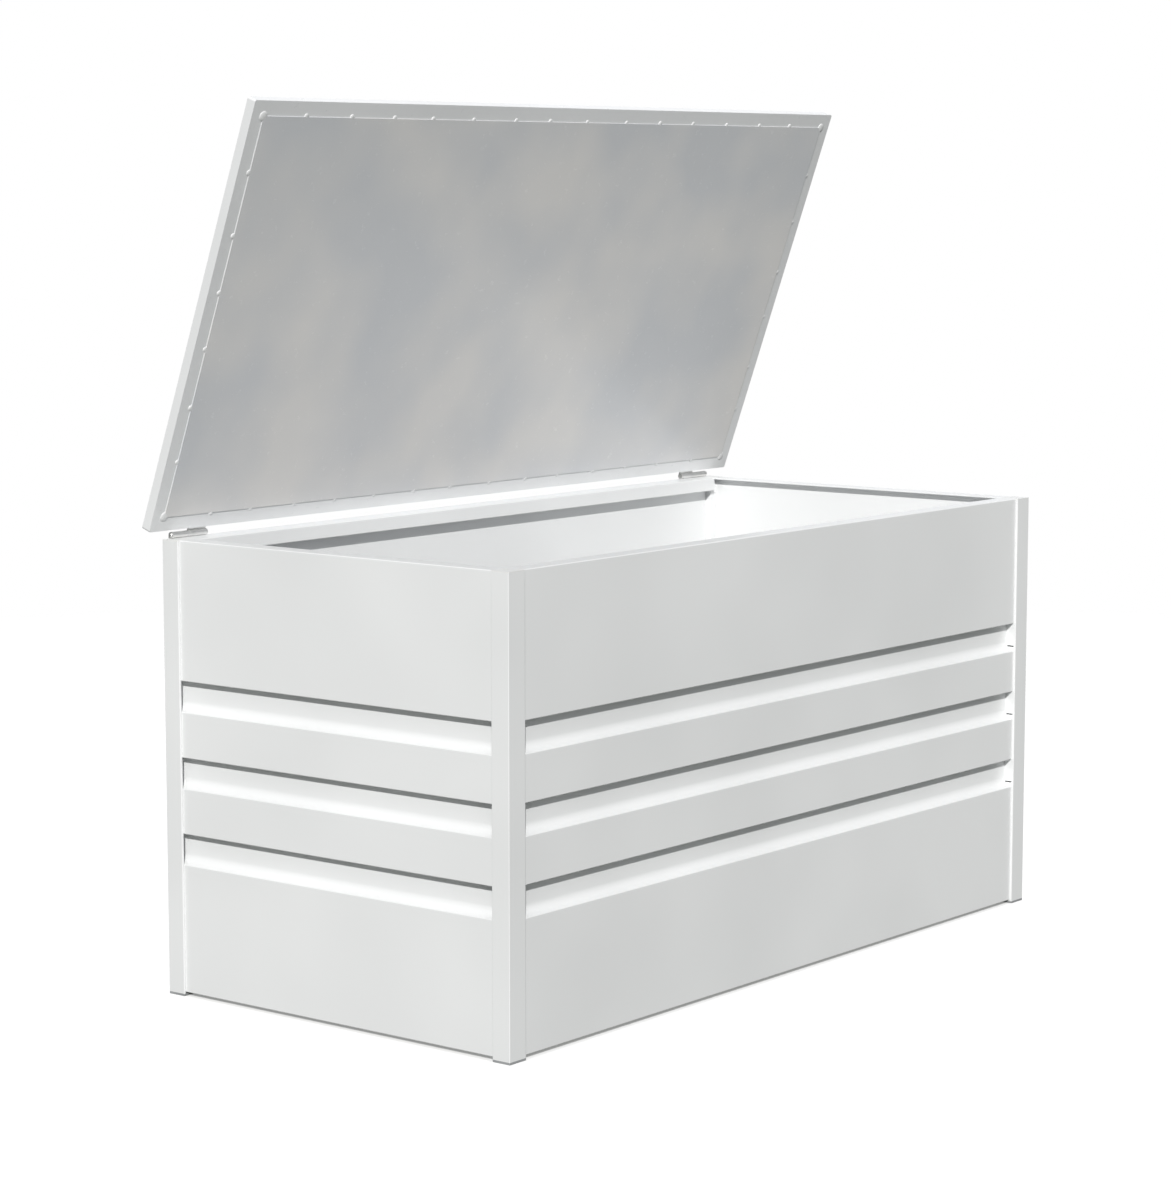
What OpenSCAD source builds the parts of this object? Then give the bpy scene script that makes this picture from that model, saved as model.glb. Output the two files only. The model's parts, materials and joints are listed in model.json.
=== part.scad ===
// Deck storage box: four corner posts, grooved hollow boards on every side,
// a slatted floor and a flat double-skinned lid on two butt hinges.
// X runs along the front, the front faces -Y, Z is up, the feet stand on z = 0.

/* [Box] */
// Width of the box over the posts
box_w = 1300; // [1000:10:1600]
// Depth of the box over the posts
box_d = 635; // [500:5:800]
// Height of the rim above the ground
box_h = 655; // [540:5:800]

/* [Posts] */
// Size of a post along the front
post_w = 34; // [30:1:44]
// Size of a post along the ends
post_d = 30; // [28:1:40]
// Wall of a post
post_wall = 2.5; // [1.5:0.5:3.5]
// Radius of a post's long edges
post_r = 1; // [1:0.5:3]
// Thickness of the plate on top of a post
cap_t = 2; // [1.5:0.5:4]
// Thickness of the glide under a post
foot_t = 3; // [2:0.5:8]
// How far the plug of a cap or a glide goes into its post
plug_h = 10; // [8:1:20]

/* [Boards] */
// Height of the top board's face
top_board_h = 200; // [140:5:240]
// Height of a slat's face
slat_h = 66; // [50:1:80]
// Height of the groove between two boards
groove_h = 44; // [30:1:52]
// Thickness of a board
board_t = 16; // [13:0.5:18]
// Wall of a board
board_wall = 1.6; // [1.2:0.1:2.2]
// How far a board's face lies behind the posts' faces
board_inset = 3.5; // [3:0.5:7]
// Thickness of the strip at the back of a groove
tongue_t = 3; // [2:0.5:4]
// How far that strip reaches up behind the board above
tongue_lap = 8; // [5:1:14]
// Radius of the cove at the foot of a groove
cove_r = 15; // [13:1:20]
// Radius of a board's long front edges
edge_r = 1.5; // [0.5:0.5:2.5]
// Gap between the bottom boards and the ground
ground_gap = 5; // [4:1:15]
// How deep the end boards sit in the posts
seat_depth = 16; // [8:1:20]
// Width of the rim plate on top of the boards
rim_w = 29; // [22:1:32]
// Thickness of the rim plate
rim_t = 2; // [1.5:0.5:4]
// Height of the drain slit in a post, beside a groove
slit_h = 2.2; // [1:0.2:3]

/* [Hinge rail] */
// Height of the rail behind the lid's hinges
rail_h = 21; // [20:1:34]
// Depth of that rail
rail_d = 38; // [24:1:44]
// Wall of that rail
rail_wall = 2; // [1.5:0.5:3]

/* [Floor] */
// Height of the sills' lower leg above the ground
sill_z = 25; // [15:1:60]
// Leg of a sill angle
sill_leg = 25; // [20:1:40]
// Wall of a sill angle
sill_wall = 2; // [1.5:0.5:3]
// Height of a floor bearer
bearer_h = 20; // [15:1:30]
// Width of a floor bearer
bearer_w = 30; // [20:1:50]
// Thickness of a floor plank
plank_t = 12; // [8:1:18]
// Gap between floor planks
plank_gap = 6; // [3:1:15]
// Wall of the bearers and of the floor planks
floor_wall = 1.6; // [1.2:0.1:2.5]

/* [Lid] */
// How far the lid reaches past each end of the box
lid_over_end = 34; // [10:1:60]
// How far the lid reaches past the front of the box
lid_over_front = 12; // [5:1:40]
// Height of the lid's edge
lid_t = 15; // [12:1:25]
// Thickness of the lid's top sheet and edges
skin_t = 1.5; // [1:0.5:2.5]
// Radius of the lid's corners
lid_r = 3; // [2:0.5:8]
// Visible width of the flange folded under the lid
flange_w = 22; // [15:1:35]
// How far the liner sheet covers the flange
liner_lap = 8; // [5:1:14]
// Thickness of the liner sheet
liner_t = 1.2; // [0.8:0.2:2]
// Width of a stiffening rib in the lid
rib_w = 60; // [30:5:100]
// Distance between the lid's rear edge and the hinges' barrels
lid_rear_gap = 5; // [3:0.5:10]
// Gap between the closed lid's liner and the rim
lid_gap = 0.8; // [0.5:0.1:3]
// Angle of the lid above the closed position
lid_open = 70; // [0:1:95]

/* [Hinges] */
// Length of a hinge
hinge_l = 70; // [50:1:100]
// Distance from the end of the box to a hinge
hinge_inset = 14; // [8:1:60]
// Outer radius of a hinge's barrel
barrel_r = 4.5; // [4:0.25:6]
// Thickness of the leaf on the box
leaf_t = 2; // [1.5:0.25:3]
// Height of the leaf on the box below the rim
leaf_h = 20; // [18:1:25]
// Thickness of the leaf on the lid
lid_leaf_t = 2.5; // [2:0.25:3]
// Radius of a hinge pin
pin_r = 2; // [1.5:0.25:2.5]

/* [Screws] */
// Radius of a screw's shank
screw_r = 2; // [1.5:0.25:2.5]
// Radius of a screw's head
head_r = 4; // [3:0.5:4.5]
// Height of a screw's head
head_h = 1.8; // [1:0.2:3]

/* [Hidden] */

$fn = 48;
eps = 0.01;
// Clearance between pieces that are only laid side by side
gap = 0.3;
// Clearance round a screw's shank, and of a pin in its knuckles
bore_gap = 0.05;
// Distance between the two knuckles of a hinge
knuckle_gap = 0.5;
// Number of floor planks
planks = 5;
// Distance from a plank's end to the posts
plank_end_gap = 2;
// Number of screws along a sill
sill_screw_count = 6;
// Distance of a sill's holes from its corner
sill_hole = sill_leg * 0.6;
// Distance from the end of a hinge leaf to its screw
leaf_screw_end = 10;
// Height of a slit above the slat below it
slit_rise = 6;
// Radius of the boss that takes a corner screw inside a board
port_r = 3.6;
// Length of a corner screw under its head
corner_screw_l = 28;
// How far a short screw reaches past the last wall that it holds
screw_tip = 3;

cove_x = board_t - tongue_t - cove_r;
cove_z = sqrt(cove_r * cove_r - pow(edge_r - cove_x, 2));
bottom_board_h = box_h - ground_gap - top_board_h - 2 * slat_h - 3 * groove_h;
low_slat_z = ground_gap + bottom_board_h + groove_h;
up_slat_z = low_slat_z + slat_h + groove_h;
top_board_z = up_slat_z + slat_h + groove_h;
inner = board_inset + board_t;

front_l = box_w - 2 * post_w - 2 * gap;
end_l = box_d - 2 * post_d + 2 * seat_depth;
end_face_l = box_d - 2 * post_d - 2 * gap;
notch_l = seat_depth + 2 * gap;
bearer_z = sill_z + sill_wall;
plank_z = bearer_z + bearer_h;
plank_l = box_w - 2 * post_w - 2 * plank_end_gap;
plank_edge = inner + sill_wall + gap;
plank_span = box_d - 2 * plank_edge;
plank_w = (plank_span - (planks - 1) * plank_gap) / planks;
bearer_step = (plank_l - 3 * bearer_w) / 2;

axis_y = box_d + leaf_t - barrel_r;
axis_z = box_h + barrel_r + gap;
// The lid's rear face and the underside of its flange, seen from the hinge axis
lid_rear = -(barrel_r + lid_rear_gap);
lid_low = box_h + lid_gap + liner_t - axis_z;
lid_w = box_w + 2 * lid_over_end;
lid_l = axis_y + lid_rear + lid_over_front;
knuckle_l = (hinge_l - knuckle_gap) / 2;
lid_back = axis_y + (lid_low + lid_t) * sin(lid_open)
    + max((lid_rear + lid_leaf_t) * cos(lid_open), (lid_rear - lid_l) * cos(lid_open));
back_y = max(lid_back, box_d + leaf_t + head_h);
front_y = min(0, axis_y + (lid_rear - lid_l) * cos(lid_open) + lid_low * sin(lid_open));
mid_y = (front_y + back_y) / 2;

// Puts a child, drawn along X with its outer face at y = 0, on one side of the box
module on_front() { translate([0, -mid_y, 0]) children(); }
module on_rear() { translate([0, box_d - mid_y, 0]) rotate(180) children(); }
module on_left() { translate([-box_w / 2, box_d / 2 - mid_y, 0]) rotate(-90) children(); }
module on_right() { translate([box_w / 2, box_d / 2 - mid_y, 0]) rotate(90) children(); }

// Puts a child, drawn for the front left corner, on corner sx, sy
module at_corner(sx, sy) {
    translate([0, box_d / 2 - mid_y, 0])
        mirror([sx > 0 ? 1 : 0, 0, 0])
            mirror([0, sy > 0 ? 1 : 0, 0])
                translate([-box_w / 2, -box_d / 2, 0])
                    children();
}

// A rectangle with round corners, from the origin
module round_rect(w, h, r) {
    translate([r, 0]) square([w - 2 * r, h]);
    translate([0, r]) square([w, h - 2 * r]);
    for (x = [r, w - r], y = [r, h - r])
        translate([x, y]) circle(r);
}

// A closed tube along X, w deep and h high
module tube_x(l, w, h, wall, r) {
    translate([-l / 2, 0, 0])
        rotate([90, 0, 90])
            linear_extrude(l)
                difference() {
                    round_rect(w, h, r);
                    translate([wall, wall]) square([w - 2 * wall, h - 2 * wall]);
                }
}

// The heights of the screw bosses in a board h high
function ports(h) = h > 100 ? [h / 4, h * 3 / 4] : [h / 2];

// A board's outline: x runs inwards from its face, y is up from its lower edge
module board_outline(h, lapped) {
    difference() {
        union() {
            translate([edge_r, 0]) square([board_t - edge_r, h]);
            translate([0, edge_r]) square([board_t, h - 2 * edge_r]);
            for (y = [edge_r, h - edge_r])
                translate([edge_r, y]) circle(edge_r);
        }
        if (lapped)
            translate([board_t - tongue_t - gap, -1])
                square([tongue_t + gap + 1, tongue_lap + gap + 1]);
    }
}

// The hollow inside a board, and the webs and bosses that stand in it
module board_hollow(h, lapped) {
    low = lapped ? tongue_lap + gap + board_wall : board_wall;
    difference() {
        union() {
            translate([board_wall, low])
                square([board_t - 2 * board_wall, h - board_wall - low]);
            if (lapped)
                translate([board_wall, board_wall])
                    square([board_t - tongue_t - gap - 2 * board_wall, low]);
        }
        for (y = ports(h)) {
            translate([0, y - board_wall / 2]) square([board_t, board_wall]);
            translate([board_t / 2, y]) circle(port_r);
        }
    }
}

// The strip that closes the groove above a board, with its cove
module board_tongue(h) {
    translate([board_t - tongue_t, h - board_wall])
        square([tongue_t, board_wall + groove_h + tongue_lap]);
    difference() {
        translate([edge_r, h - eps])
            square([board_t - tongue_t - edge_r + eps, cove_z + eps]);
        translate([cove_x, h + cove_z]) circle(cove_r, $fn = 96);
    }
}

// One board along X. lapped: it covers the strip of the board below.
// tongue: it has a strip of its own. rim: it carries the rim plate.
module board(l, h, lapped, tongue, rim) {
    translate([-l / 2, board_inset, 0])
        rotate([90, 0, 90])
            linear_extrude(l)
                difference() {
                    union() {
                        difference() {
                            board_outline(h, lapped);
                            board_hollow(h, lapped);
                        }
                        if (tongue) board_tongue(h);
                        if (rim)
                            translate([edge_r, h - rim_t])
                                square([rim_w - edge_r, rim_t]);
                    }
                    for (y = ports(h))
                        translate([board_t / 2, y]) circle(screw_r + bore_gap);
                }
}

module long_board(z, h, lapped, tongue, rim) {
    translate([0, 0, z]) board(front_l, h, lapped, tongue, rim);
}

// An end board: the ends that sit in the posts stop below the caps, and the
// rim plate stops at the posts
module end_board(z, h, lapped, tongue, rim) {
    translate([0, 0, z])
        difference() {
            board(end_l, h, lapped, tongue, rim);
            if (rim)
                for (s = [-1, 1])
                    translate([s * (end_face_l + notch_l) / 2, 0, h]) {
                        cube([notch_l, 4 * rim_w, 2 * (cap_t + gap)], center = true);
                        translate([0, inner + rim_w + gap, 0])
                            cube([notch_l, 2 * rim_w, 2 * (rim_t + gap)], center = true);
                    }
        }
}

// A post's hollow, less a clearance
module post_core(z, h, less) {
    translate([post_wall + less, post_wall + less, z])
        cube([post_w - 2 * (post_wall + less), post_d - 2 * (post_wall + less), h]);
}

// The heights where a corner screw goes through a post
screw_zs = concat(
    [for (z = ports(bottom_board_h)) ground_gap + z],
    [for (z = ports(slat_h)) low_slat_z + z],
    [for (z = ports(slat_h)) up_slat_z + z],
    [for (z = ports(top_board_h)) top_board_z + z]
);
rear_screw_zs = concat(
    [for (z = ports(bottom_board_h)) ground_gap + z],
    [for (z = ports(slat_h)) low_slat_z + z],
    [for (z = ports(slat_h)) up_slat_z + z],
    [for (z = ports(top_board_h - rail_h)) top_board_z + z]
);

// One post: a tube with a channel for the end boards, drain slits beside the
// grooves and holes for the corner screws
module post(zs) {
    difference() {
        translate([0, 0, foot_t])
            linear_extrude(box_h - cap_t - foot_t)
                round_rect(post_w, post_d, post_r);
        post_core(0, box_h, 0);
        translate([board_inset - gap, post_d - post_wall - 1, 0])
            cube([board_t + 2 * gap, post_wall + 2, box_h]);
        for (z = [low_slat_z - groove_h, up_slat_z - groove_h, top_board_z - groove_h])
            translate([post_w - post_wall - 1, board_inset, z + slit_rise])
                cube([post_wall + 2, board_t - tongue_t, slit_h]);
        for (z = zs)
            translate([post_w - post_wall - 1, board_inset + board_t / 2, z])
                rotate([0, 90, 0])
                    cylinder(r = screw_r + bore_gap, h = post_wall + 2);
    }
}

// A hole for the hinge screw that goes into a rear post
module leaf_screw_hole(depth, r) {
    for (x = leaf_screw_xs)
        if (x < post_w)
            translate([x, -1, box_h - leaf_screw_z])
                rotate([-90, 0, 0])
                    cylinder(r = r, h = depth + 1);
}

module rear_post() {
    difference() {
        post(rear_screw_zs);
        leaf_screw_hole(post_wall + 1, screw_r + bore_gap);
    }
}

// The L-shaped plug that fits beside the end boards inside a post
module plug(z) {
    difference() {
        post_core(z, plug_h, gap);
        translate([0, post_d - seat_depth - gap, z - 1])
            cube([inner + gap, seat_depth, plug_h + 2]);
    }
}

module cap() {
    translate([0, 0, box_h - cap_t])
        linear_extrude(cap_t) round_rect(post_w, post_d, post_r);
    plug(box_h - cap_t - plug_h);
}

module rear_cap() {
    difference() {
        cap();
        leaf_screw_hole(box_leaf_screw_l + gap, screw_r + gap);
    }
}

module foot() {
    linear_extrude(foot_t) round_rect(post_w, post_d, post_r);
    plug(foot_t);
}

// A pan-head screw that points down from z = 0, its head above
module screw(l) {
    translate([0, 0, -l]) cylinder(r = screw_r, h = l + eps);
    cylinder(r1 = head_r, r2 = head_r - head_h / 2, h = head_h);
}

module corner_screw_row(zs) {
    for (z = zs)
        translate([post_w - post_wall, board_inset + board_t / 2, z])
            rotate([0, -90, 0])
                screw(corner_screw_l);
}

module corner_screws() {
    color("silver") {
        for (sx = [-1, 1]) {
            at_corner(sx, -1) corner_screw_row(screw_zs);
            at_corner(sx, 1) corner_screw_row(rear_screw_zs);
        }
    }
}

module hinge_rail() {
    color("white")
        on_rear()
            translate([0, 0, box_h - rail_h])
                difference() {
                    tube_x(front_l, rail_d, rail_h, rail_wall, edge_r);
                    for (s = [-1, 1], x = leaf_screw_xs)
                        if (x > post_w)
                            translate([s * (box_w / 2 - x), -1, rail_h - leaf_screw_z])
                                rotate([-90, 0, 0])
                                    cylinder(r = screw_r + bore_gap, h = rail_wall + 2);
                }
}

// Places of the screws along a sill
sill_screw_step = (plank_l - 2 * bearer_w - 4 * head_r) / (sill_screw_count - 1);
sill_screw_xs = [for (k = [0 : sill_screw_count - 1])
    (k - (sill_screw_count - 1) / 2) * sill_screw_step];
// The sill's screws pass under the bottom boards' lowest bosses
sill_screw_z = min(sill_z + sill_hole,
    ground_gap + ports(bottom_board_h)[0] - port_r - screw_r - gap);
sill_screw_l = sill_wall + board_wall + screw_tip;

// A sill angle along X on the inner face of a bottom board
module sill() {
    difference() {
        translate([-front_l / 2, inner, sill_z]) {
            cube([front_l, sill_wall, sill_leg]);
            cube([front_l, sill_leg, sill_wall]);
        }
        for (x = sill_screw_xs)
            translate([x, inner - 1, sill_screw_z])
                rotate([-90, 0, 0])
                    cylinder(r = screw_r + bore_gap, h = sill_wall + 2);
        for (x = bearer_xs)
            translate([x, inner + sill_hole, sill_z - 1])
                cylinder(r = screw_r + bore_gap, h = sill_wall + 2);
    }
}

// A bottom board of the front or the rear, with the holes for its sill's screws
module sill_board() {
    difference() {
        long_board(ground_gap, bottom_board_h, false, true, false);
        for (x = sill_screw_xs)
            translate([x, inner - board_wall - 1, sill_screw_z])
                rotate([-90, 0, 0])
                    cylinder(r = screw_r + bore_gap, h = board_wall + 2);
    }
}

module sill_screw_row() {
    for (x = sill_screw_xs)
        translate([x, inner + sill_wall, sill_screw_z])
            rotate([-90, 0, 0])
                screw(sill_screw_l);
}

module sill_screws() {
    color("silver") {
        on_front() sill_screw_row();
        on_rear() sill_screw_row();
    }
}

bearer_xs = [for (k = [-1 : 1]) k * (bearer_w + bearer_step)];
plank_ys = [for (k = [0 : planks - 1]) plank_edge + k * (plank_w + plank_gap)];

// A floor bearer across the box, laid on the two sills
module bearer(k) {
    l = box_d - 2 * (inner + sill_wall + gap);
    color("white")
        translate([bearer_xs[k], -mid_y, 0])
            difference() {
                translate([bearer_w / 2, box_d / 2, bearer_z])
                    rotate(90)
                        tube_x(l, bearer_w, bearer_h, floor_wall, edge_r);
                for (y = [inner + sill_hole, box_d - inner - sill_hole])
                    translate([0, y, bearer_z - 1])
                        cylinder(r = screw_r + bore_gap, h = floor_wall + 2);
                for (y = plank_ys)
                    translate([0, y + plank_w / 2, plank_z - floor_wall - 1])
                        cylinder(r = screw_r + bore_gap, h = floor_wall + 2);
            }
}

// A hollow floor plank along the box
module floor_plank(k) {
    color("whitesmoke")
        translate([0, plank_ys[k] - mid_y, plank_z])
            difference() {
                tube_x(plank_l, plank_w, plank_t, floor_wall, edge_r);
                for (x = bearer_xs)
                    translate([x, plank_w / 2, -1])
                        cylinder(r = screw_r + bore_gap, h = plank_t + 2);
            }
}

module floor_screws() {
    color("silver")
        for (x = bearer_xs) {
            for (y = plank_ys)
                translate([x, y + plank_w / 2 - mid_y, plank_z + plank_t])
                    screw(plank_t + floor_wall + screw_tip);
            for (y = [inner + sill_hole, box_d - inner - sill_hole])
                translate([x, y - mid_y, sill_z])
                    rotate([180, 0, 0])
                        screw(sill_wall + floor_wall + screw_tip);
        }
}

// Places of the screws along a hinge's leaf, from the end of the box
leaf_screw_xs = [hinge_inset + leaf_screw_end, hinge_inset + hinge_l - leaf_screw_end];
// Depth of the box leaf's screws below the rim, under the plugs of the caps
leaf_screw_z = leaf_h * 0.75;
box_leaf_screw_l = leaf_t + max(rail_wall, post_wall) + screw_tip;
lid_leaf_screw_l = lid_leaf_t + skin_t + screw_tip;

// Puts a child, drawn at the left end along X with the hinge axis at the
// origin, on the left or the right end of the box
module at_hinge(s) {
    translate([s * box_w / 2, axis_y - mid_y, axis_z])
        mirror([s > 0 ? 1 : 0, 0, 0])
            children();
}

module at_lid(s) {
    at_hinge(s) rotate([-lid_open, 0, 0]) children();
}

module knuckle(x) {
    translate([x, 0, 0])
        rotate([0, 90, 0])
            cylinder(r = barrel_r, h = knuckle_l);
}

// Bore through a whole hinge barrel
module pin_bore() {
    translate([hinge_inset - 1, 0, 0])
        rotate([0, 90, 0])
            cylinder(r = pin_r + bore_gap, h = hinge_l + 2);
}

// The leaf screwed behind the post and the rail, with the outer knuckle
module box_leaf(s) {
    at_hinge(s)
        difference() {
            union() {
                knuckle(hinge_inset);
                translate([hinge_inset, barrel_r - leaf_t, -barrel_r - gap - leaf_h])
                    cube([hinge_l, leaf_t, leaf_h]);
                translate([hinge_inset, barrel_r - leaf_t, -barrel_r - gap - eps])
                    cube([knuckle_l, leaf_t, barrel_r + gap + eps]);
            }
            pin_bore();
            for (x = leaf_screw_xs)
                translate([x, barrel_r - leaf_t - 1, -barrel_r - gap - leaf_screw_z])
                    rotate([-90, 0, 0])
                        cylinder(r = screw_r + bore_gap, h = leaf_t + 2);
        }
}

// The leaf screwed behind the lid's rear edge, with the inner knuckle on an arm
module lid_leaf(s) {
    x0 = hinge_inset + knuckle_l + knuckle_gap;
    at_lid(s)
        difference() {
            union() {
                knuckle(x0);
                translate([x0, lid_rear, barrel_r - lid_leaf_t])
                    cube([knuckle_l, -lid_rear, lid_leaf_t]);
                translate([hinge_inset, lid_rear, barrel_r - eps])
                    cube([hinge_l, lid_leaf_t, lid_low + lid_t - barrel_r + eps]);
            }
            pin_bore();
            for (x = leaf_screw_xs)
                translate([x, lid_rear - 1, (barrel_r + lid_low + lid_t) / 2])
                    rotate([-90, 0, 0])
                        cylinder(r = screw_r / 2 + bore_gap, h = lid_leaf_t + 2);
        }
}

module hinge_pin(s) {
    color("silver")
        at_hinge(s) {
            translate([hinge_inset, 0, 0])
                rotate([0, 90, 0])
                    cylinder(r = pin_r, h = hinge_l);
            translate([hinge_inset - 1, 0, 0])
                rotate([0, 90, 0])
                    cylinder(r1 = pin_r, r2 = pin_r + 1, h = 1);
        }
}

module hinge_screws_box() {
    color("silver")
        for (s = [-1, 1], x = leaf_screw_xs)
            at_hinge(s)
                translate([x, barrel_r, -barrel_r - gap - leaf_screw_z])
                    rotate([-90, 0, 0])
                        screw(box_leaf_screw_l);
}

module hinge_screws_lid() {
    color("silver")
        for (s = [-1, 1], x = leaf_screw_xs)
            at_lid(s)
                translate([x, lid_rear + lid_leaf_t, (barrel_r + lid_low + lid_t) / 2])
                    rotate([-90, 0, 0])
                        scale(0.5) screw(2 * lid_leaf_screw_l);
}

// Turns a child, drawn closed with the hinge axis at the origin, to the lid's angle
module lid_frame() {
    translate([0, axis_y - mid_y, axis_z])
        rotate([-lid_open, 0, 0])
            children();
}

// A flat plate of the lid, d inside its edges
module lid_plate(d, z, h, r) {
    translate([-lid_w / 2 + d, lid_rear - lid_l + d, z])
        linear_extrude(h)
            round_rect(lid_w - 2 * d, lid_l - 2 * d, r);
}

// Places of the holes for the hinge screws in the lid's rear edge
module lid_screw_holes() {
    for (s = [-1, 1], x = leaf_screw_xs)
        translate([s * (box_w / 2 - x), lid_rear - skin_t - 1, (barrel_r + lid_low + lid_t) / 2])
            rotate([-90, 0, 0])
                cylinder(r = screw_r / 2 + bore_gap, h = skin_t + 2);
}

module lid_shell() {
    color("white")
        lid_frame()
            difference() {
                lid_plate(0, lid_low, lid_t, lid_r);
                lid_plate(skin_t, lid_low + skin_t, lid_t - 2 * skin_t, max(lid_r - skin_t, 0.5));
                lid_plate(flange_w + liner_lap, lid_low - 1, skin_t + 2, lid_r);
                lid_screw_holes();
            }
}

module lid_liner() {
    color("gainsboro")
        lid_frame()
            lid_plate(flange_w, lid_low - liner_t, liner_t, lid_r);
}

// A hat-shaped rib between the liner and the lid's top sheet
module lid_rib(k) {
    l = lid_l - 2 * (flange_w + liner_lap + 2);
    h = lid_t - skin_t;
    color("white")
        lid_frame()
            translate([k * lid_w / 4 + rib_w / 2, lid_rear - lid_l / 2, lid_low])
                rotate(90)
                    tube_x(l, rib_w, h, skin_t, edge_r);
}

color("white") at_corner(-1, -1) post(screw_zs);  // post_front_left
color("white") at_corner(1, -1) post(screw_zs);  // post_front_right
color("white") at_corner(-1, 1) rear_post();  // post_rear_left
color("white") at_corner(1, 1) rear_post();  // post_rear_right
color("white") at_corner(-1, -1) cap();  // cap_front_left
color("white") at_corner(1, -1) cap();  // cap_front_right
color("white") at_corner(-1, 1) rear_cap();  // cap_rear_left
color("white") at_corner(1, 1) rear_cap();  // cap_rear_right
color("gray") at_corner(-1, -1) foot();  // foot_front_left
color("gray") at_corner(1, -1) foot();  // foot_front_right
color("gray") at_corner(-1, 1) foot();  // foot_rear_left
color("gray") at_corner(1, 1) foot();  // foot_rear_right
color("white") on_front() long_board(top_board_z, top_board_h, true, false, true);  // front_top_board
color("white") on_front() long_board(up_slat_z, slat_h, true, true, false);  // front_upper_slat
color("white") on_front() long_board(low_slat_z, slat_h, true, true, false);  // front_lower_slat
color("white") on_front() sill_board();  // front_bottom_board
color("white") on_rear() long_board(top_board_z, top_board_h - rail_h, true, false, false);  // rear_top_board
color("white") on_rear() long_board(up_slat_z, slat_h, true, true, false);  // rear_upper_slat
color("white") on_rear() long_board(low_slat_z, slat_h, true, true, false);  // rear_lower_slat
color("white") on_rear() sill_board();  // rear_bottom_board
color("white") on_left() end_board(top_board_z, top_board_h, true, false, true);  // left_top_board
color("white") on_left() end_board(up_slat_z, slat_h, true, true, false);  // left_upper_slat
color("white") on_left() end_board(low_slat_z, slat_h, true, true, false);  // left_lower_slat
color("white") on_left() end_board(ground_gap, bottom_board_h, false, true, false);  // left_bottom_board
color("white") on_right() end_board(top_board_z, top_board_h, true, false, true);  // right_top_board
color("white") on_right() end_board(up_slat_z, slat_h, true, true, false);  // right_upper_slat
color("white") on_right() end_board(low_slat_z, slat_h, true, true, false);  // right_lower_slat
color("white") on_right() end_board(ground_gap, bottom_board_h, false, true, false);  // right_bottom_board
hinge_rail();
color("whitesmoke") on_front() sill();  // front_sill
color("whitesmoke") on_rear() sill();  // rear_sill
bearer(0);  // bearer_left
bearer(1);  // bearer_middle
bearer(2);  // bearer_right
floor_plank(0);  // floor_plank_1
floor_plank(1);  // floor_plank_2
floor_plank(2);  // floor_plank_3
floor_plank(3);  // floor_plank_4
floor_plank(4);  // floor_plank_5
corner_screws();
sill_screws();
floor_screws();
color("silver") box_leaf(-1);  // hinge_leaf_box_left
color("silver") box_leaf(1);  // hinge_leaf_box_right
hinge_pin(-1);  // hinge_pin_left
hinge_pin(1);  // hinge_pin_right
hinge_screws_box();
lid_shell();
lid_liner();
lid_rib(-1);  // lid_rib_left
lid_rib(0);  // lid_rib_middle
lid_rib(1);  // lid_rib_right
color("silver") lid_leaf(-1);  // hinge_leaf_lid_left
color("silver") lid_leaf(1);  // hinge_leaf_lid_right
hinge_screws_lid();
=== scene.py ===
import json
import math

import bpy
import numpy as np
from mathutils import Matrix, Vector


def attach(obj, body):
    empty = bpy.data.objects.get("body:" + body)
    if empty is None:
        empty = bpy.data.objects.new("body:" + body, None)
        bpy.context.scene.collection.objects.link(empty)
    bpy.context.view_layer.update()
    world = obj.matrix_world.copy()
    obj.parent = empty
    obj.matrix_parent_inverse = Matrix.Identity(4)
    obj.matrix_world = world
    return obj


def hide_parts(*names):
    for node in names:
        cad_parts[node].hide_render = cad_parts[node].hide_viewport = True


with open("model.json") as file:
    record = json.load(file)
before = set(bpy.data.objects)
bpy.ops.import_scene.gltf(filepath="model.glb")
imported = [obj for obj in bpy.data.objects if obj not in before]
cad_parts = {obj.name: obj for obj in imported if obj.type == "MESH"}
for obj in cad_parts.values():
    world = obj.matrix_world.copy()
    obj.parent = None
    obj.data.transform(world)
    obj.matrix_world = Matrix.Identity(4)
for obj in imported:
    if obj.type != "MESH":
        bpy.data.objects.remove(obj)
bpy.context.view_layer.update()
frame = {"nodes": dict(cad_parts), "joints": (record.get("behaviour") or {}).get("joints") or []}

MM = 0.001
nodes = frame["nodes"]
hinge = frame["joints"][0]
AXIS = np.array(hinge["pos_m"])

# The lid's sizes in millimetres, as the part has them, from the hinge axis
LID_OPEN = math.radians(70.0)
LID_LOW = -2.8
LID_REAR = -9.5
LID_LONG = 635.0
LID_WIDE = 1368.0
FLANGE = 22.0
LINER_T = 1.2

# The tacks between the corners on a long and on a short edge of the liner, how far they
# stray along it and stand out past it, and how far a corner's dab lies inside it, in mm
TACKS_LONG = 14
TACKS_SHORT = 6
TACK_STRAY = 5.0
TACK_OUT = 0.8
CORNER_IN = 0.5
CORNER_RADIUS = 7.5
CORNER_HEIGHT = 1.6

# How much the sharp edges are rounded, in mm: fittings and screws, then everything else
FITTING_EDGE = 0.25
PANEL_EDGE = 0.45


# ---------------------------------------------------------------- shapes

def lid_to_world(points):
    """Points drawn with the lid closed, in mm from the hinge axis, turned back by the
    lid's opening angle about X and moved to the hinge axis, in metres."""
    c, s = math.cos(LID_OPEN), math.sin(LID_OPEN)
    x, y, z = points[:, 0], points[:, 1], points[:, 2]
    return np.stack([x, y * c + z * s, z * c - y * s], 1) * MM + AXIS


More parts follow.
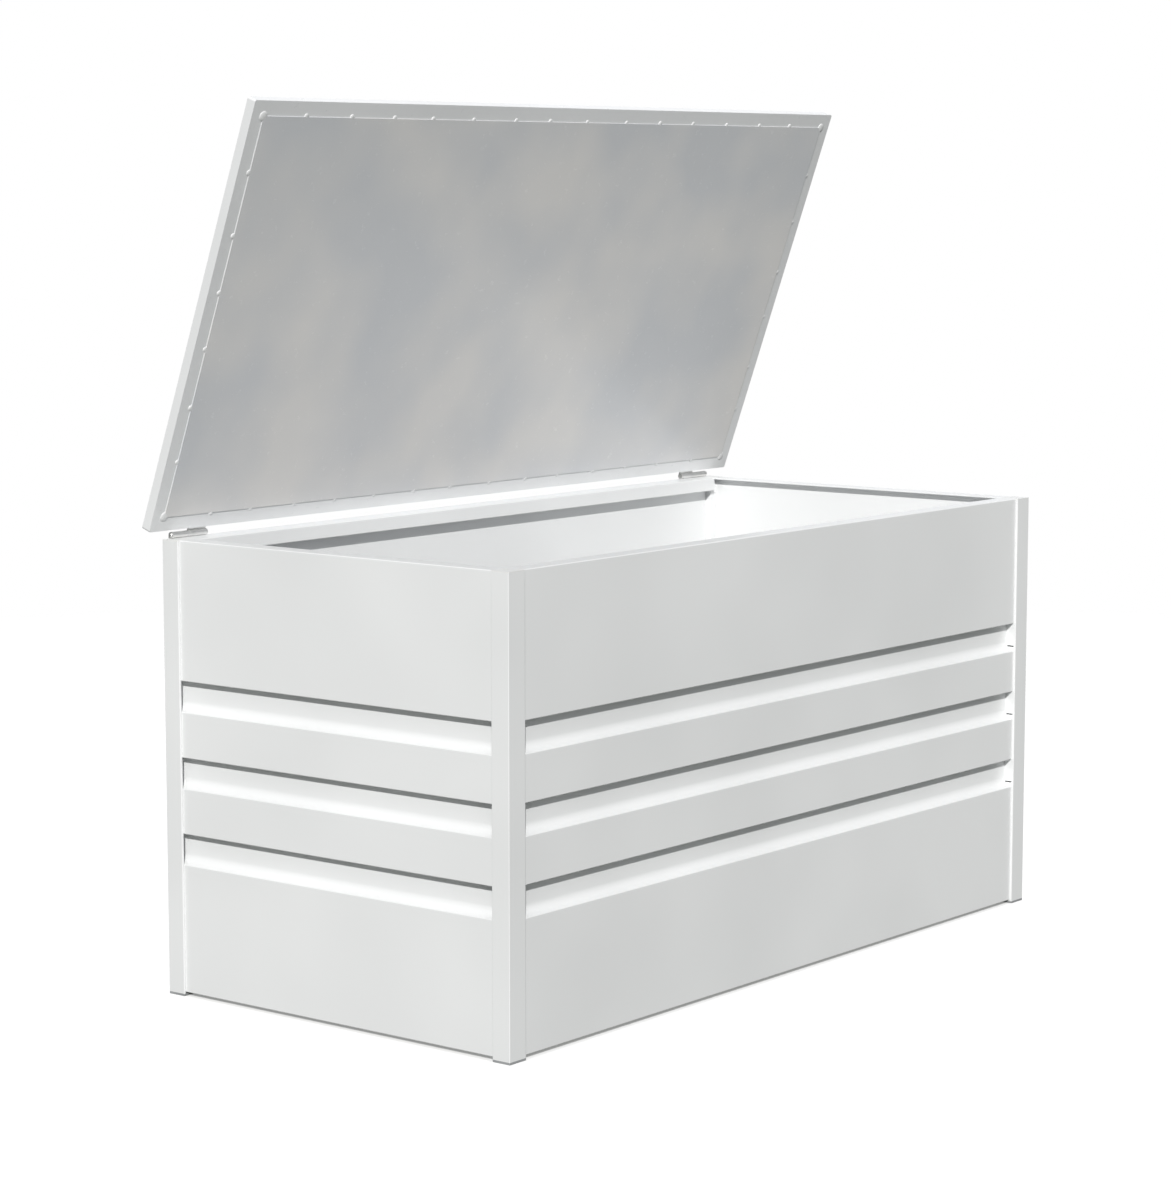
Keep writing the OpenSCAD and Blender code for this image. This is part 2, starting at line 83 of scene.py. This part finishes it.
def make_piece(name, points, faces, body, material):
    """One mesh piece from its points, in metres, and its faces; it rides on a body. Its
    shading breaks where faces meet at more than 50 degrees."""
    mesh = bpy.data.meshes.new(name)
    mesh.from_pydata(points.tolist(), [], faces)
    mesh.update()
    mesh.polygons.foreach_set("use_smooth", np.full(len(mesh.polygons), True))
    mesh.set_sharp_from_angle(angle=math.radians(50))
    mesh.materials.append(material)
    piece = bpy.data.objects.new(name, mesh)
    bpy.context.scene.collection.objects.link(piece)
    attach(piece, body)
    return piece


def grid_faces(rows, cols, wrap, start=0, flip=False):
    """The quads of a grid of rows by cols points, closed round the columns if wrap."""
    r, c = np.meshgrid(np.arange(rows - 1), np.arange(cols if wrap else cols - 1), indexing="ij")
    nxt = (c + 1) % cols
    quads = np.stack([r * cols + c, r * cols + nxt, (r + 1) * cols + nxt, (r + 1) * cols + c], -1)
    quads = quads.reshape(-1, 4) + start
    return (quads[:, ::-1] if flip else quads).tolist()


def domes(centres, radii, heights, sides=16, rings=6):
    """Round dabs that lie on a plane and swell downwards. Each is a half ellipsoid: at
    angle t from its rim the radius is r cos t and the depth is h sin t, closed by a
    flat disc on top and by one point at the bottom."""
    t = np.linspace(0, math.pi / 2, rings + 1)[:-1]
    a = np.linspace(0, 2 * math.pi, sides, endpoint=False)
    ring = np.stack([np.outer(np.cos(t), np.cos(a)), np.outer(np.cos(t), np.sin(a)),
                     np.repeat(-np.sin(t)[:, None], sides, 1)], -1).reshape(-1, 3)
    shape = np.vstack([ring, [[0, 0, -1]]])
    scale = np.stack([radii, radii, heights], 1)[:, None]
    points = (shape[None] * scale + centres[:, None]).reshape(-1, 3)
    one = grid_faces(rings, sides, True, flip=True)
    tip, last = rings * sides, (rings - 1) * sides
    one += [[last + (k + 1) % sides, last + k, tip] for k in range(sides)]
    one += [list(range(sides))]
    faces = [[i + n * len(shape) for i in f] for n in range(len(centres)) for f in one]
    return points, faces


def liner_sheet():
    """The liner: a sheet over the lid's hollow. It rises towards the lid's top sheet by
    rise (1 + w), where w is a sum of long sine waves over the sum of their heights, times
    (1 - u^6)(1 - v^6), which is nothing at the edges, so that the sheet stays flat where
    it is tacked and lies in soft hollows between."""
    nx, ny = 180, 84
    rise, crowding, wave_heights = 0.42, 1.15, 2.5
    half = np.array([LID_WIDE / 2 - FLANGE, LID_LONG / 2 - FLANGE])
    u, v = np.linspace(-1, 1, nx), np.linspace(-1, 1, ny)
    # the border rows crowd at the edge, so that its corner is crisp
    u = np.sign(u) * (1 - (1 - abs(u)) ** crowding)
    v = np.sign(v) * (1 - (1 - abs(v)) ** crowding)
    uu, vv = np.meshgrid(u, v, indexing="ij")
    x, y = uu * half[0], vv * half[1] + LID_REAR - LID_LONG / 2
    wave = (np.sin(x / 97 + 0.6 * np.sin(y / 71)) + 0.7 * np.sin(y / 83 - x / 210 + 1.3)
            + 0.5 * np.sin(x / 41 + y / 57 + 2.1) + 0.3 * np.sin(x / 29 - y / 33))
    hold = (1 - uu ** 6) * (1 - vv ** 6)
    lift = rise * hold * (1 + wave / wave_heights)
    low = np.stack([x, y, LID_LOW - LINER_T + lift], -1).reshape(-1, 3)
    top = low + [0, 0, LINER_T]
    n = nx * ny
    faces = grid_faces(nx, ny, False) + grid_faces(nx, ny, False, n, flip=True)
    i = np.arange(n).reshape(nx, ny)
    rim = np.concatenate([i[:-1, 0], i[-1, :-1], i[:0:-1, -1], i[0, :0:-1]])
    nxt = np.roll(rim, -1)
    faces += np.stack([rim, rim + n, nxt + n, nxt], 1).tolist()
    return np.vstack([low, top]), faces


def tack_places():
    """Centres of the tacks along the liner's edge, about evenly spaced with a small
    seeded scatter, and the four corners."""
    rng = np.random.default_rng(11)
    hx, hy, mid = LID_WIDE / 2 - FLANGE, LID_LONG / 2 - FLANGE, LID_REAR - LID_LONG / 2
    along = np.linspace(-hx, hx, TACKS_LONG + 2)[1:-1]
    up = np.linspace(-hy, hy, TACKS_SHORT + 2)[1:-1]
    places = []
    for s in (-1, 1):
        stray = rng.uniform(-TACK_STRAY, TACK_STRAY, len(along))
        across = np.full(len(along), mid + s * (hy + TACK_OUT))
        places.append(np.stack([along + stray, across], 1))
        stray = rng.uniform(-TACK_STRAY, TACK_STRAY, len(up))
        across = np.full(len(up), s * (hx + TACK_OUT))
        places.append(np.stack([across, up + stray + mid], 1))
    corners = np.array([[a * (hx - CORNER_IN), mid + b * (hy - CORNER_IN)]
                        for a in (-1, 1) for b in (-1, 1)])
    return np.vstack(places), corners


# ------------------------------------------------------------- materials

def new_group(name, inputs, outputs):
    """An empty shader node group with float inputs and named outputs."""
    group = bpy.data.node_groups.new(name, "ShaderNodeTree")
    for label, value in inputs:
        socket = group.interface.new_socket(label, in_out="INPUT", socket_type="NodeSocketFloat")
        socket.default_value = value
    for label in outputs:
        group.interface.new_socket(label, in_out="OUTPUT", socket_type="NodeSocketFloat")
    return group, group.nodes.new("NodeGroupInput"), group.nodes.new("NodeGroupOutput")


def add(tree, kind, **values):
    """A node with its properties and its input values set."""
    node = tree.nodes.new(kind)
    for key, value in values.items():
        if key in node.inputs:
            node.inputs[key].default_value = value
        else:
            setattr(node, key, value)
    return node


def noise(tree, vector, scale, detail=3.0):
    """Noise of one scale at a place."""
    node = add(tree, "ShaderNodeTexNoise", Detail=detail, Roughness=0.5)
    node.inputs["Scale"].default_value = scale
    tree.links.new(vector, node.inputs["Vector"])
    return node.outputs["Fac"]


def math_node(tree, operation, a, b):
    """A sum, product or comparison of two values, each a number or another node's output."""
    node = add(tree, "ShaderNodeMath", operation=operation)
    for k, value in enumerate((a, b)):
        if isinstance(value, (int, float)):
            node.inputs[k].default_value = value
        else:
            tree.links.new(value, node.inputs[k])
    return node.outputs[0]


def coat_group():
    """Sprayed powder: Peel is the fine orange peel, Cloud the slow change of tone over a
    whole panel, Speck sparse nibs."""
    group, inp, out = new_group("sprayed_powder", [("Peel Scale", 620.0), ("Cloud Scale", 3.0)],
                                ["Peel", "Cloud", "Speck"])
    where = group.nodes.new("ShaderNodeTexCoord").outputs["Object"]
    fine = add(group, "ShaderNodeTexNoise", Detail=2.0, Roughness=0.6)
    slow = add(group, "ShaderNodeTexNoise", Detail=2.0, Roughness=0.45)
    group.links.new(where, fine.inputs["Vector"])
    group.links.new(where, slow.inputs["Vector"])
    group.links.new(inp.outputs["Peel Scale"], fine.inputs["Scale"])
    group.links.new(inp.outputs["Cloud Scale"], slow.inputs["Scale"])
    mid = noise(group, where, 95.0, 2.0)
    peel = math_node(group, "ADD", math_node(group, "MULTIPLY", fine.outputs["Fac"], 0.6),
                     math_node(group, "MULTIPLY", mid, 0.8))
    group.links.new(peel, out.inputs["Peel"])
    group.links.new(slow.outputs["Fac"], out.inputs["Cloud"])
    nib = noise(group, where, 240.0, 0.0)
    group.links.new(math_node(group, "GREATER_THAN", nib, 0.79), out.inputs["Speck"])
    return group


def grain_group():
    """Fine parallel scratches: noise on coordinates that are stretched along X."""
    group, inp, out = new_group("brushed_lines", [("Fineness", 1.0)], ["Lines", "Smudge"])
    where = group.nodes.new("ShaderNodeTexCoord").outputs["Object"]
    stretch = add(group, "ShaderNodeMapping")
    stretch.inputs["Scale"].default_value = (60.0, 4200.0, 4200.0)
    group.links.new(where, stretch.inputs["Vector"])
    lines = add(group, "ShaderNodeTexNoise", Detail=2.0)
    group.links.new(stretch.outputs[0], lines.inputs["Vector"])
    group.links.new(inp.outputs["Fineness"], lines.inputs["Scale"])
    group.links.new(lines.outputs["Fac"], out.inputs["Lines"])
    group.links.new(noise(group, where, 70.0), out.inputs["Smudge"])
    return group


COAT = coat_group()
LINES = grain_group()


def start_material(name):
    """A new material, its node tree and its main shader."""
    material = bpy.data.materials.new(name)
    material.use_nodes = True
    tree = material.node_tree
    return material, tree, tree.nodes["Principled BSDF"]


def blend_colours(tree, factor, low, high, a, b):
    """A colour between a and b as the factor goes from low to high."""
    ramp = add(tree, "ShaderNodeMapRange")
    ramp.inputs["From Min"].default_value = low
    ramp.inputs["From Max"].default_value = high
    tree.links.new(factor, ramp.inputs["Value"])
    mix = add(tree, "ShaderNodeMix", data_type="RGBA")
    tree.links.new(ramp.outputs[0], mix.inputs["Factor"])
    # a Mix node's sockets 6, 7 and 2 are its two colours and its result
    mix.inputs[6].default_value = (*a, 1)
    mix.inputs[7].default_value = (*b, 1)
    return mix.outputs[2]


def spread(tree, factor, low, high, a, b):
    """A value between a and b as the factor goes from low to high."""
    ramp = add(tree, "ShaderNodeMapRange")
    for key, value in (("From Min", low), ("From Max", high), ("To Min", a), ("To Max", b)):
        ramp.inputs[key].default_value = value
    tree.links.new(factor, ramp.inputs["Value"])
    return ramp.outputs[0]


def coated(name, dark, light, rough, peel_scale=620.0, cloud_scale=3.0, peel=0.00006):
    """Powder-coated metal: cloudy white with orange peel and a satin gloss."""
    material, tree, shader = start_material(name)
    texture = add(tree, "ShaderNodeGroup", node_tree=COAT)
    texture.inputs["Peel Scale"].default_value = peel_scale
    texture.inputs["Cloud Scale"].default_value = cloud_scale
    colour = blend_colours(tree, texture.outputs["Cloud"], 0.35, 0.65, dark, light)
    tree.links.new(colour, shader.inputs["Base Color"])
    gloss = spread(tree, texture.outputs["Peel"], 0.4, 1.0, rough - 0.04, rough + 0.05)
    tree.links.new(gloss, shader.inputs["Roughness"])
    bump = add(tree, "ShaderNodeBump", Strength=0.55, Distance=peel)
    height = math_node(tree, "ADD", texture.outputs["Peel"],
                       math_node(tree, "MULTIPLY", texture.outputs["Speck"], 0.7))
    tree.links.new(height, bump.inputs["Height"])
    tree.links.new(bump.outputs[0], shader.inputs["Normal"])
    return material


def steel(name, dark, light, rough):
    """Stainless steel with fine lines along the hinge and faint smudges."""
    material, tree, shader = start_material(name)
    texture = add(tree, "ShaderNodeGroup", node_tree=LINES)
    colour = blend_colours(tree, texture.outputs["Smudge"], 0.3, 0.7, dark, light)
    tree.links.new(colour, shader.inputs["Base Color"])
    gloss = spread(tree, texture.outputs["Lines"], 0.25, 0.75, rough - 0.08, rough + 0.1)
    tree.links.new(gloss, shader.inputs["Roughness"])
    bump = add(tree, "ShaderNodeBump", Strength=0.4, Distance=0.00003)
    tree.links.new(texture.outputs["Lines"], bump.inputs["Height"])
    tree.links.new(bump.outputs[0], shader.inputs["Normal"])
    shader.inputs["Metallic"].default_value = 1.0
    return material


WHITE = coated("white_powder_coat", (0.80, 0.81, 0.815), (0.85, 0.86, 0.865), 0.36)
LID_WHITE = coated("lid_powder_coat", (0.80, 0.81, 0.82), (0.85, 0.86, 0.87), 0.30)
# The liner's coat drifts between a dim bluish grey and a pale warm grey: painted reflection, the
# bluish grey standing for sky and the warm grey for bright things nearby, as mirrored in the lid's
# glossy underside
LINER_PAINTED_REFLECTION = coated("liner_coat_painted_reflection", (0.685, 0.70, 0.725), (0.80, 0.79, 0.78), 0.24,
               cloud_scale=5.0)
INSIDE = coated("inside_powder_coat", (0.76, 0.77, 0.765), (0.82, 0.83, 0.82), 0.42,
                cloud_scale=4.0)
DABS = coated("coated_tacks", (0.82, 0.83, 0.835), (0.87, 0.875, 0.88), 0.30, 300.0, 40.0)
CAPS = coated("white_cap_plastic", (0.80, 0.805, 0.80), (0.84, 0.845, 0.84), 0.45, 900.0, 12.0,
              0.00003)
GLIDES = coated("grey_glide_plastic", (0.30, 0.31, 0.32), (0.36, 0.37, 0.38), 0.55, 700.0, 30.0,
                0.00005)
STEEL = steel("stainless_steel", (0.80, 0.80, 0.79), (0.90, 0.90, 0.89), 0.46)
SCREW = steel("screw_steel", (0.42, 0.42, 0.42), (0.58, 0.58, 0.57), 0.34)


def finish_for(name):
    """The finish of a CAD node, from what it is."""
    if "screws" in name:
        return SCREW
    if name.startswith("hinge_leaf") or name.startswith("hinge_pin"):
        return STEEL
    if name.startswith("cap_"):
        return CAPS
    if name.startswith("foot_"):
        return GLIDES
    if name.startswith("lid_"):
        return LID_WHITE
    if name.startswith("floor_plank") or name.startswith("bearer") or name.endswith("sill"):
        return INSIDE
    return WHITE


def soften(node, width):
    """Joins a CAD node's loose triangles, then rounds its sharp edges a little."""
    weld = node.modifiers.new("join", "WELD")
    weld.merge_threshold = 0.00001
    bevel = node.modifiers.new("round", "BEVEL")
    bevel.width = width * MM
    bevel.segments = 2
    bevel.limit_method = "ANGLE"
    bevel.angle_limit = math.radians(40)
    flat = node.modifiers.new("flat", "WEIGHTED_NORMAL")
    flat.mode = "FACE_AREA"
    flat.weight = 50


for name, node in nodes.items():
    node.data.materials.clear()
    node.data.materials.append(finish_for(name))
    node.data.polygons.foreach_set("use_smooth", np.full(len(node.data.polygons), True))
    soften(node, FITTING_EDGE if "screws" in name or "hinge" in name else PANEL_EDGE)

# ---------------------------------------------------------------- pieces

points, faces = liner_sheet()
liner = make_piece("liner_sheet", lid_to_world(points), faces, "lid", LINER_PAINTED_REFLECTION)
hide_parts("lid_liner")

tacks, corners = tack_places()
rng = np.random.default_rng(5)
# the dabs' flat tops lie a hair below the flange
dab_top = LID_LOW - 0.01
dabs = np.vstack([tacks, corners])
centres = np.column_stack([dabs, np.full(len(dabs), dab_top)])
radii = np.concatenate([rng.uniform(3.6, 4.5, len(tacks)), np.full(len(corners), CORNER_RADIUS)])
heights = np.concatenate([rng.uniform(1.25, 1.5, len(tacks)), np.full(len(corners), CORNER_HEIGHT)])
points, faces = domes(centres, radii, heights)
make_piece("liner_tacks", lid_to_world(points), faces, "lid", DABS)

# ----------------------------------------------------- floor and lighting

FLOOR_REACH = 5.0
# The floor lies this far under the glides, so that they don't share its plane
FLOOR_DROP = 0.0005
# The floor fades out between these distances from its middle
FADE_START = 1.6
FADE_END = 4.2


def floor_material():
    """A pale floor that fades to the background with distance from the object."""
    material, tree, shader = start_material("pale_floor")
    shader.inputs["Base Color"].default_value = (0.92, 0.92, 0.92, 1)
    shader.inputs["Roughness"].default_value = 0.8
    shader.inputs["Emission Color"].default_value = (1, 1, 1, 1)
    shader.inputs["Emission Strength"].default_value = 0.2
    where = tree.nodes.new("ShaderNodeTexCoord").outputs["Object"]
    length = add(tree, "ShaderNodeVectorMath", operation="LENGTH")
    tree.links.new(where, length.inputs[0])
    fade = spread(tree, length.outputs["Value"], FADE_START, FADE_END, 1.0, 0.0)
    tree.links.new(fade, shader.inputs["Alpha"])
    return material


floor_mesh = bpy.data.meshes.new("floor")
floor_corners = [(x * FLOOR_REACH, y * FLOOR_REACH, 0)
                 for x, y in ((-1, -1), (1, -1), (1, 1), (-1, 1))]
floor_mesh.from_pydata(floor_corners, [], [(0, 1, 2, 3)])
floor_mesh.materials.append(floor_material())
floor = bpy.data.objects.new("floor", floor_mesh)
bpy.context.scene.collection.objects.link(floor)
floor.location.z = -FLOOR_DROP
floor.visible_diffuse = False
floor.visible_glossy = False

# The sky that lights the object is dim below the horizon and pale above it; the camera
# itself sees plain white
world = bpy.data.worlds.new("studio")
bpy.context.scene.world = world
world.use_nodes = True
sky = world.node_tree
background = sky.nodes["Background"]
lit = sky.nodes.new("ShaderNodeBackground")
height = sky.nodes.new("ShaderNodeSeparateXYZ")
sky.links.new(sky.nodes.new("ShaderNodeTexCoord").outputs["Generated"], height.inputs[0])
overhead = blend_colours(sky, height.outputs["Z"], -0.03, 0.10, (0.125, 0.132, 0.12),
                         (0.375, 0.382, 0.395))
sky.links.new(overhead, lit.inputs["Color"])
lit.inputs["Strength"].default_value = 1.0
background.inputs["Color"].default_value = (1, 1, 1, 1)
background.inputs["Strength"].default_value = 1.0
ray = sky.nodes.new("ShaderNodeLightPath")
choose = sky.nodes.new("ShaderNodeMixShader")
sky.links.new(ray.outputs["Is Camera Ray"], choose.inputs[0])
sky.links.new(lit.outputs[0], choose.inputs[1])
sky.links.new(background.outputs[0], choose.inputs[2])
sky.links.new(choose.outputs[0], sky.nodes["World Output"].inputs["Surface"])


def distant_lamp(name, direction, energy, width, colour):
    """A far lamp that shines along a direction; its width, in degrees, softens its shadows."""
    data = bpy.data.lights.new(name, "SUN")
    data.energy = energy
    data.angle = math.radians(width)
    data.color = colour
    lamp = bpy.data.objects.new(name, data)
    bpy.context.scene.collection.objects.link(lamp)
    lamp.rotation_mode = "QUATERNION"
    lamp.rotation_quaternion = Vector(direction).to_track_quat("-Z", "Y")


distant_lamp("key", (1.30, 1.013, -1.0), 3.27, 0.9, (1.0, 0.99, 0.97))
distant_lamp("fill", (-1.0, -0.85, -0.22), 0.8, 70.0, (0.97, 0.98, 1.0))

# The camera's lens and sensor in mm, its place, and how far it looks down and turns
LENS = 99.98
SENSOR = 36.0
CAMERA_PLACE = (-3.943, -3.061, 1.160)
LOOK_DOWN = 7.205
TURN = -51.57

camera_data = bpy.data.cameras.new("camera")
camera_data.sensor_width = SENSOR
camera_data.lens = LENS
camera_data.clip_end = 100
camera = bpy.data.objects.new("camera", camera_data)
bpy.context.scene.collection.objects.link(camera)
camera.location = CAMERA_PLACE
camera.rotation_euler = (math.radians(90 - LOOK_DOWN), 0, math.radians(TURN))
bpy.context.scene.camera = camera
bpy.context.scene.view_settings.view_transform = "Standard"
